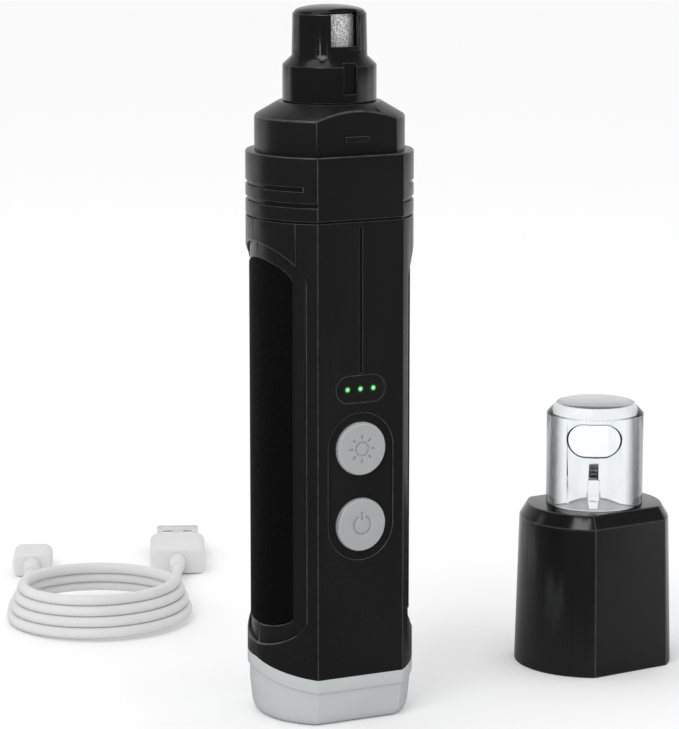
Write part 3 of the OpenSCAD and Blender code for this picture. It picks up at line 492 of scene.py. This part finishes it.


# Main and shade colours, then the smoothest and roughest finish; the edge colour is painted on bevelled
# edges as a highlight, in the share given after it
black = 0.0098
materials = {
    "body_black": plastic(
        "bodyBlack", black, 0.0082, 0.26, 0.36, grain=4200.0, patch=34.0, bump=0.002, gloss=0.42,
        edge=0.085, paintedEdge=0.85),
    "nose_black": plastic(
        "noseBlack", 0.0082, 0.007, 0.14, 0.24, grain=4200.0, patch=40.0, bump=0.0012, gloss=0.5,
        edge=0.07, paintedEdge=0.85),
    "cap_black": plastic(
        "capBlack", 0.0105, 0.009, 0.12, 0.2, grain=4200.0, patch=26.0, bump=0.001, gloss=0.5,
        edge=0.055, paintedEdge=0.8),
    "grip_rubber": pebbled(
        "gripRubber", 0.0032, 0.0012, 0.7, 0.9, size=0.42, bump=0.04, metallic=0.0, gloss=0.2),
    "light_grey": plastic(
        "lightGrey", (0.35, 0.364, 0.37), (0.33, 0.343, 0.35), 0.4, 0.52, grain=5200.0, patch=45.0,
        bump=0.003, gloss=0.4, edge=0.66, paintedEdge=0.6),
    "window_dark": batteryWindow("batteryWindow"),
    "guide_clear": glowing("guideClear", (0.3, 0.9, 0.36), 0.6),
    "stem_nylon": plastic("stemNylon", (0.62, 0.56, 0.42), (0.55, 0.49, 0.36), 0.4, 0.55),
    "switch_case": plastic("switchCase", 0.03, 0.024, 0.4, 0.6),
    "board_green": plastic(
        "boardGreen", (0.012, 0.11, 0.035), (0.008, 0.07, 0.022), 0.25, 0.42, grain=900.0,
        patch=300.0),
    "board_white": plastic(
        "boardWhite", (0.78, 0.78, 0.74), (0.70, 0.70, 0.66), 0.3, 0.45, grain=1200.0, patch=250.0),
    "led_green": glowing("ledGreen", (0.1, 0.9, 0.2), 1.5),
    "led_white": plastic(
        "ledWhite", (0.95, 0.86, 0.55), (0.9, 0.78, 0.42), 0.12, 0.2, grain=2000.0, patch=500.0),
    "chip_black": plastic("chipBlack", 0.016, 0.012, 0.5, 0.7),
    "socket_steel": metal("socketSteel", 0.60, 0.48, 0.22, 0.4),
    "contact_black": plastic("contactBlack", 0.02, 0.014, 0.4, 0.6),
    "contact_white": plastic("contactWhite", 0.78, 0.7, 0.4, 0.55),
    "cell_sleeve": plastic(
        "cellSleeve", (0.03, 0.13, 0.36), (0.02, 0.10, 0.30), 0.2, 0.34, grain=1500.0, patch=120.0),
    "nickel": metal("nickelStrip", (0.60, 0.57, 0.50), (0.48, 0.45, 0.40), 0.25, 0.45),
    "foam_grey": pebbled("foamGrey", 0.09, 0.05, 0.85, 0.98, size=0.5, bump=0.12),
    "motor_steel": metal(
        "motorSteel", (0.50, 0.51, 0.53), (0.40, 0.41, 0.42), 0.25, 0.42, lines=1800.0,
        stretch=(1, 1, 0.05)),
    "bell_nylon": plastic("bellNylon", (0.70, 0.70, 0.66), (0.62, 0.62, 0.58), 0.4, 0.55),
    "terminal_brass": metal("terminalBrass", (0.72, 0.50, 0.20), (0.55, 0.37, 0.14), 0.25, 0.45),
    "magnet_ferrite": pebbled("magnetFerrite", 0.06, 0.035, 0.6, 0.85, size=0.3, bump=0.02),
    "winding_copper": metal(
        "windingCopper", (0.60, 0.24, 0.09), (0.35, 0.12, 0.04), 0.2, 0.4, lines=3200.0,
        stretch=(0.1, 0.1, 1)),
    "shaft_steel": metal("shaftSteel", 0.62, 0.52, 0.12, 0.25, lines=2600.0, stretch=(0.1, 0.1, 1)),
    "sleeve_rubber": pebbled("sleeveRubber", 0.02, 0.012, 0.7, 0.9, size=0.35, bump=0.02),
    "screw_steel": metal("screwSteel", 0.48, 0.36, 0.22, 0.42),
    "screw_black": metal("screwBlack", 0.07, 0.04, 0.3, 0.5),
    "collet_brass": metal(
        "colletBrass", (0.70, 0.50, 0.21), (0.56, 0.39, 0.15), 0.15, 0.32, lines=2600.0,
        stretch=(0.1, 0.1, 1)),
    "nut_steel": metal("nutSteel", 0.62, 0.50, 0.14, 0.3),
    "drum_core": metal("drumCore", 0.82, 0.70, 0.12, 0.28, lines=2200.0, stretch=(0.1, 0.1, 1)),
    "diamond_grit": plastic(
        "diamondGrit", 0.24, 1.0, 0.28, 0.5, grain=7000.0, patch=2600.0, bump=0.05, gloss=0.6),
    "seal_felt": pebbled(
        "sealFelt", (0.28, 0.25, 0.2), (0.16, 0.14, 0.11), 0.9, 1.0, size=0.25, bump=0.05),
    "wire_red": plastic("wireRed", (0.45, 0.02, 0.015), (0.36, 0.015, 0.012), 0.3, 0.42),
    "wire_white": plastic("wireWhite", 0.75, 0.66, 0.3, 0.42),
    "guard_clear": clearPlastic("guardClear"),
    "plug_steel": metal("plugSteel", 0.74, 0.64, 0.16, 0.34, lines=2600.0, stretch=(0.4, 0.4, 1)),
    "cable_white": plastic("cableWhite", 0.74, 0.70, 0.36, 0.5, grain=2600.0, patch=70.0, bump=0.003),
}

# Painted light: the base takes a paler copy of the button grey, making up for the shade that falls on it
# near the floor
baseGrey = plastic(
    "baseGrey", (0.50, 0.52, 0.525), (0.47, 0.49, 0.495), 0.42, 0.55, grain=5200.0, patch=45.0,
    bump=0.003, gloss=0.4, edge=0.62, paintedEdge=0.35)


def assignMaterial(piece, slot):
    piece.data.materials.clear()
    piece.data.materials.append(materials[slot])


for name, node in nodes.items():
    assignMaterial(node, slotOf[name])
assignMaterial(cablePiece, "cable_white")
print("materials built:", len(materials))

# Edge break in millimetres, the smallest angle that counts as an edge, and its segments
edges = {
    "front_shell": (0.12, 20, 3),
    "rear_shell": (0.12, 20, 3),
    "head_housing": (0.16, 20, 3),
    "nose_cover": (0.12, 20, 3),
    "base_cap": (0.16, 20, 3),
    "grip_left": (0.3, 25, 3),
    "grip_right": (0.3, 25, 3),
    "led_window": (0.12, 25, 3),
    "light_button": (0.07, 25, 3),
    "power_button": (0.07, 25, 3),
    "storage_cap": (0.3, 16, 4),
    "clear_guard": (0.2, 20, 3),
    "usb_a_body": (0.9, 30, 4),
    "micro_body": (0.8, 30, 4),
    "usb_a_shell": (0.1, 30, 2),
    "micro_shell": (0.07, 30, 2),
    "usb_a_relief": (0.3, 30, 3),
    "micro_relief": (0.3, 30, 3),
    "drum_core": (0.15, 30, 3),
    "collet_nut": (0.12, 25, 2),
}

# Softer edges inside a box given as low and high corners in millimetres, with their own break
softEdges = {
    "front_shell": [
        ((-21, -13, 16), (-12.5, 1, 118), 0.45, 4),
        ((12.5, -13, 16), (21, 1, 118), 0.45, 4),
        ((-9, -17, 39), (9, -16.4, 77), 0.22, 3),
    ],
    "rear_shell": [((-21, -1, 16), (-12.5, 13, 118), 0.45, 4), ((12.5, -1, 16), (21, 13, 118), 0.45, 4)],
    "head_housing": [
        ((-20, -16, 144.4), (20, 16, 147.9), 0.42, 3),
        ((-21, -17, 136.5), (21, 17, 136.9), 0.36, 3),
    ],
    "clear_guard": [((60, -15, 54), (100, 30, 64), 0.42, 3)],
}

# Distance in millimetres and angles in degrees used when a mesh is cleaned and shaded
cleaning = {"mergeWithin": 0.002, "flatWithin": 0.6, "sharpFrom": 28}


def pieceName(node):
    words = node.split("_")
    return words[0] + "".join(word.capitalize() for word in words[1:])


def openShape(node):
    shape = bmesh.new()
    shape.from_mesh(nodes[node].data)
    bmesh.ops.remove_doubles(shape, verts=shape.verts, dist=cleaning["mergeWithin"] * mm)
    bmesh.ops.dissolve_limit(
        shape, angle_limit=math.radians(cleaning["flatWithin"]), verts=shape.verts, edges=shape.edges,
        use_dissolve_boundaries=False)
    return shape


def closeShape(shape, name, slot):
    mesh = bpy.data.meshes.new(name)
    shape.to_mesh(mesh)
    shape.free()
    mesh.shade_smooth()
    mesh.set_sharp_from_angle(angle=math.radians(cleaning["sharpFrom"]))
    piece = bpy.data.objects.new(name, mesh)
    bpy.context.scene.collection.objects.link(piece)
    assignMaterial(piece, slot)
    return piece


def bevelSome(shape, chosen, width, segments, broken):
    if not chosen:
        return
    made = bmesh.ops.bevel(
        shape, geom=chosen, offset=width * mm, offset_type="OFFSET", segments=segments,
        profile=0.5, affect="EDGES", clamp_overlap=False, material=-1)
    for face in made["faces"]:
        face[broken] = 1


def inBox(edge, low, high):
    ends = [v.co / mm for v in edge.verts]
    return all(low[k] <= end[k] <= high[k] for end in ends for k in range(3))


def sharpEdges(shape, angle, broken):
    # Outer corners only; the ones already broken are left alone
    return [
        edge for edge in shape.edges
        if len(edge.link_faces) == 2 and edge.calc_face_angle_signed(0.0) > math.radians(angle)
        and not any(face[broken] for face in edge.link_faces)
    ]


def breakEdges(node, width, angle, segments):
    shape = openShape(node)
    broken = shape.faces.layers.int.new("broken")
    paintedEdge = shape.verts.layers.float.new("paintedEdgeMask")
    for low, high, softWidth, softSegments in softEdges.get(node, []):
        chosen = [e for e in sharpEdges(shape, angle, broken) if inBox(e, low, high)]
        bevelSome(shape, chosen, softWidth, softSegments, broken)
    bevelSome(shape, sharpEdges(shape, angle, broken), width, segments, broken)
    # Mask of points lying only on bevel faces: the painted edge highlight goes there, and the clear
    # guard's painted dark cut edges
    for vert in shape.verts:
        vert[paintedEdge] = 1.0 if all(face[broken] for face in vert.link_faces) else 0.0
    shape.faces.layers.int.remove(broken)
    piece = closeShape(shape, pieceName(node), slotOf[node])
    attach(piece, nodes[node]["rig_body"])
    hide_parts(node)
    return piece


pieces = {node: breakEdges(node, *values) for node, values in edges.items()}
# The base gets the paler grey: painted light against the shade near the floor
pieces["base_cap"].data.materials[0] = baseGrey
print("edges broken on", len(pieces), "pieces")


# Diamond drum: columns and rows of its mesh, and grit, size, fineSize and edge in millimetres.
# The shares and limits are parts of the grit's height.
drum = {
    "columns": 168, "rows": 44, "grit": 0.13, "size": 0.42, "fineSize": 0.3, "coarse": 0.6, "fine": 0.4,
    "lowest": -0.3, "highest": 0.95, "edge": 0.25, "edgeDrop": -0.15,
}


def makeDrum():
    low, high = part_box("grinding_drum")
    middle = (low + high) / 2
    radius = (high.x - low.x) / 2
    shape = bmesh.new()
    start = radius - drum["grit"] * mm
    bmesh.ops.create_circle(shape, cap_ends=False, segments=drum["columns"], radius=start)
    ring = list(shape.edges)
    bmesh.ops.translate(shape, verts=shape.verts, vec=(middle.x, middle.y, low.z))
    step = (high.z - low.z) / drum["rows"]
    for row in range(drum["rows"]):
        made = bmesh.ops.extrude_edge_only(shape, edges=ring)["geom"]
        top = [item for item in made if isinstance(item, bmesh.types.BMVert)]
        ring = [item for item in made if isinstance(item, bmesh.types.BMEdge)]
        bmesh.ops.translate(shape, verts=top, vec=(0, 0, step))
    for vert in shape.verts:
        outward = Vector((vert.co.x - middle.x, vert.co.y - middle.y, 0)).normalized()
        fromEnd = min(vert.co.z - low.z, high.z - vert.co.z) / mm
        coarse = noise.cell(vert.co / (drum["size"] * mm)) * drum["coarse"]
        grain = coarse + drum["fine"] * noise.noise(vert.co / (drum["fineSize"] * mm))
        rise = drum["grit"] * max(drum["lowest"], min(drum["highest"], grain))
        if fromEnd <= drum["edge"]:
            rise = drum["edgeDrop"]
        vert.co += outward * rise * mm
    inner = nodes["drum_core"].data
    hole = max(Vector((v.co.x - middle.x, v.co.y - middle.y)).length for v in inner.vertices)
    for height in (low.z, high.z):
        rim = [e for e in shape.edges if e.is_boundary and abs(e.verts[0].co.z - height) < 0.1 * step]
        made = bmesh.ops.extrude_edge_only(shape, edges=rim)["geom"]
        for vert in [item for item in made if isinstance(item, bmesh.types.BMVert)]:
            flat = Vector((vert.co.x - middle.x, vert.co.y - middle.y, 0)).normalized() * hole
            vert.co = Vector((middle.x + flat.x, middle.y + flat.y, height))
    openEdges = [e for e in shape.edges if e.is_boundary]
    bmesh.ops.bridge_loops(shape, edges=openEdges)
    bmesh.ops.recalc_face_normals(shape, faces=shape.faces)
    piece = closeShape(shape, "diamondDrum", "diamond_grit")
    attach(piece, "rotor")
    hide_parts("grinding_drum")


makeDrum()
print("drum made")


# Pale floor and backdrop with soft lights; sizes in metres
studio = {
    "floorSize": 6.0,
    "floorTone": 0.98,
    "floorRoughness": 0.9,
    "floorGloss": 0.1,
    "backdrop": 1.0,
    "roomLight": 0.99,
    # Reflections see a dark room in front and a bright backdrop behind
    "behind": (0.4496, 0.8932, 0.0),
    "brightFloor": (0.755, 0.656, 0.0),
    "roomRise": (0.3, 0.98),
    "floorRise": (-0.03, 0.24),
    "darkSide": 0.05,
    "brightSide": 0.85,
    # Place, aim, width, height and radiance
    "panels": {
        "leftPanel": ((-0.21, 0.25, 0.13), (0.0, 0.0, 0.10), 0.07, 0.26, 0.6),
        "rightPanel": ((0.32, -0.03, 0.15), (0.0, 0.0, 0.10), 0.06, 0.26, 0.38),
        "topPanel": ((-0.12, 0.05, 0.62), (0.0, 0.0, 0.12), 0.22, 0.30, 1.1),
    },
    # Place, aim, size and watts
    "key": ((-0.7, -0.55, 0.9), (0.0, 0.0, 0.08), 0.5, 3.0),
}


def reflectedOnly(tree):
    # Reflections see a darker room, so black stays black; light through clear plastic does not
    path = addNode(tree, "ShaderNodeLightPath")
    through = addMath(tree, "SUBTRACT", 1.0, path.outputs["Is Transmission Ray"])
    return addMath(tree, "MULTIPLY", path.outputs["Is Glossy Ray"], through)


def towards(tree, place, side, rise):
    near, far = studio[rise]
    dot = addNode(tree, "ShaderNodeVectorMath", operation="DOT_PRODUCT")
    tree.links.new(place, dot.inputs[0])
    dot.inputs[1].default_value = studio[side]
    return addRange(tree, dot.outputs["Value"], near, far, studio["darkSide"], studio["brightSide"])


def makeFloor():
    shape = bmesh.new()
    bmesh.ops.create_grid(shape, x_segments=1, y_segments=1, size=studio["floorSize"] / 2)
    mesh = bpy.data.meshes.new("paleFloor")
    shape.to_mesh(mesh)
    shape.free()
    floor = bpy.data.objects.new("paleFloor", mesh)
    bpy.context.scene.collection.objects.link(floor)
    material = bpy.data.materials.new("paleFloor")
    material.use_nodes = True
    tree = material.node_tree
    shader = tree.nodes["Principled BSDF"]
    shader.inputs["Base Color"].default_value = colour(studio["floorTone"])
    shader.inputs["Roughness"].default_value = studio["floorRoughness"]
    shader.inputs["Specular IOR Level"].default_value = studio["floorGloss"]
    dim = addNode(tree, "ShaderNodeBsdfDiffuse")
    place = addNode(tree, "ShaderNodeTexCoord").outputs["Object"]
    tree.links.new(towards(tree, place, "brightFloor", "floorRise"), dim.inputs["Color"])
    mixed = addNode(tree, "ShaderNodeMixShader")
    tree.links.new(reflectedOnly(tree), mixed.inputs[0])
    tree.links.new(shader.outputs[0], mixed.inputs[1])
    tree.links.new(dim.outputs[0], mixed.inputs[2])
    tree.links.new(mixed.outputs[0], tree.nodes["Material Output"].inputs["Surface"])
    mesh.materials.append(material)


def makeRoom():
    world = bpy.data.worlds.new("studioRoom")
    world.use_nodes = True
    tree = world.node_tree
    path = addNode(tree, "ShaderNodeLightPath")
    direction = addNode(tree, "ShaderNodeTexCoord").outputs["Generated"]
    mirrored = towards(tree, direction, "behind", "roomRise")
    seen = addRange(tree, reflectedOnly(tree), 0.0, 1.0, studio["roomLight"], mirrored)
    strength = addRange(tree, path.outputs["Is Camera Ray"], 0.0, 1.0, 0.0, studio["backdrop"])
    total = addMath(tree, "MAXIMUM", seen, strength)
    tree.links.new(total, tree.nodes["Background"].inputs["Strength"])
    tree.nodes["Background"].inputs["Color"].default_value = (1, 1, 1, 1)
    bpy.context.scene.world = world


def placeLamp(name, place, aim, data):
    lamp = bpy.data.objects.new(name, data)
    bpy.context.scene.collection.objects.link(lamp)
    lamp.location = place
    lamp.rotation_euler = (Vector(aim) - Vector(place)).to_track_quat("-Z", "Y").to_euler()
    return lamp


def makeLamps():
    for name, (place, aim, wide, high, radiance) in studio["panels"].items():
        data = bpy.data.lights.new(name, "AREA")
        data.shape = "RECTANGLE"
        data.size = wide
        data.size_y = high
        data.energy = radiance * math.pi * wide * high
        lamp = placeLamp(name, place, aim, data)
        lamp.visible_diffuse = False  # only seen as a soft reflection
        lamp.visible_transmission = False
    place, aim, size, watts = studio["key"]
    data = bpy.data.lights.new("keySoftbox", "AREA")
    data.size = size
    data.energy = watts
    placeLamp("keySoftbox", place, aim, data)


makeFloor()
makeRoom()
makeLamps()
bpy.context.scene.view_settings.view_transform = "Standard"
print("studio ready")
